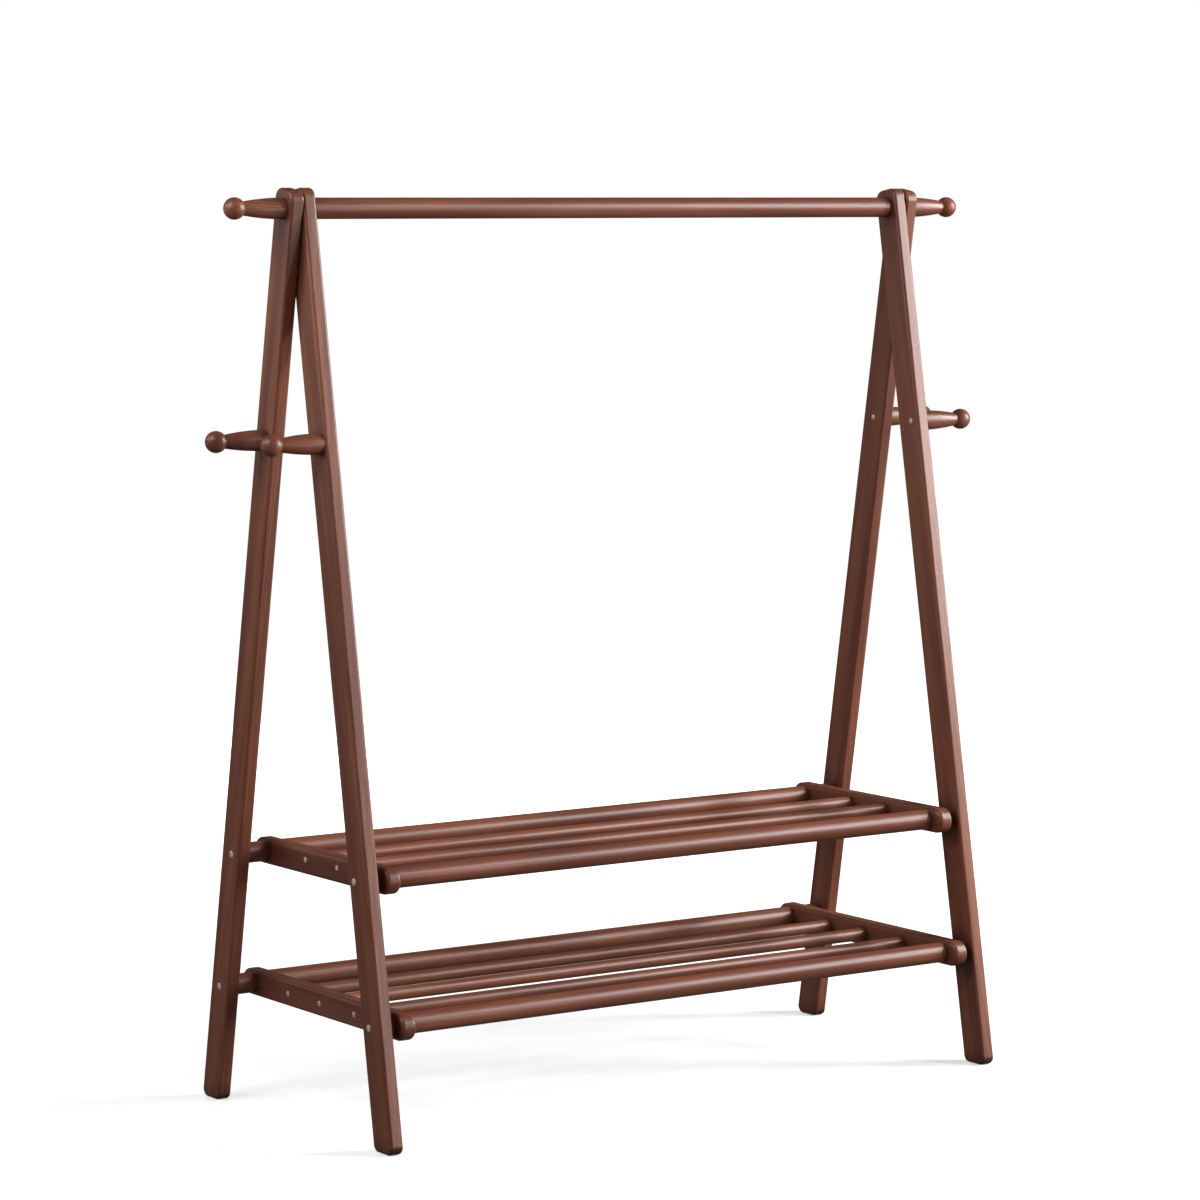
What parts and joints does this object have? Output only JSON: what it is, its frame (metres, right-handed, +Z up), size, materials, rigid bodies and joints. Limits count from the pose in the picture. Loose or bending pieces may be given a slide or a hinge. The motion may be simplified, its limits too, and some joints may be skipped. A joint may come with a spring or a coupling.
{
  "type": "clothes rack",
  "caption": "Free-standing wooden clothes rack: A-frame legs, a round hanging rail, turned pegs with ball ends and slatted shelves of round bars.",
  "frame": {"origin": "on the floor, under the middle of the hanging rail", "axes": "+Z up, X along the hanging rail, front towards -Y"},
  "size_m": [1.3696, 0.521, 1.4005],
  "materials": {
    "frame_wood": "satin walnut-brown stain on solid wood",
    "shelf_wood": "satin walnut-brown stain on solid wood",
    "zinc_steel": "zinc-plated steel",
    "nickel_steel": "nickel-plated steel screw and bolt heads"
  },
  "bodies": {
    "root": {"front_left_leg": "frame_wood", "rear_left_leg": "frame_wood", "front_right_leg": "frame_wood", "rear_right_leg": "frame_wood", "hanging_rail": "frame_wood", "left_end_peg": "frame_wood", "right_end_peg": "frame_wood", "front_left_peg": "frame_wood", "rear_left_peg": "frame_wood", "front_right_peg": "frame_wood", "rear_right_peg": "frame_wood", "upper_left_end_rail": "shelf_wood", "upper_right_end_rail": "shelf_wood", "lower_left_end_rail": "shelf_wood", "lower_right_end_rail": "shelf_wood", "upper_front_bar": "shelf_wood", "upper_rear_bar": "shelf_wood", "upper_mid_bar_front": "shelf_wood", "upper_mid_bar_rear": "shelf_wood", "lower_front_bar": "shelf_wood", "lower_rear_bar": "shelf_wood", "lower_mid_bar_front": "shelf_wood", "lower_mid_bar_centre": "shelf_wood", "lower_mid_bar_rear": "shelf_wood", "pivot_studs": "zinc_steel", "rail_insert_nuts": "zinc_steel", "end_peg_insert_nuts": "zinc_steel", "upper_bar_insert_nuts": "zinc_steel", "lower_bar_insert_nuts": "zinc_steel", "side_peg_screws": "nickel_steel", "upper_shelf_bolts": "nickel_steel", "lower_shelf_bolts": "nickel_steel", "upper_end_rail_screws": "nickel_steel", "lower_end_rail_screws": "nickel_steel"}
  },
  "joints": []
}
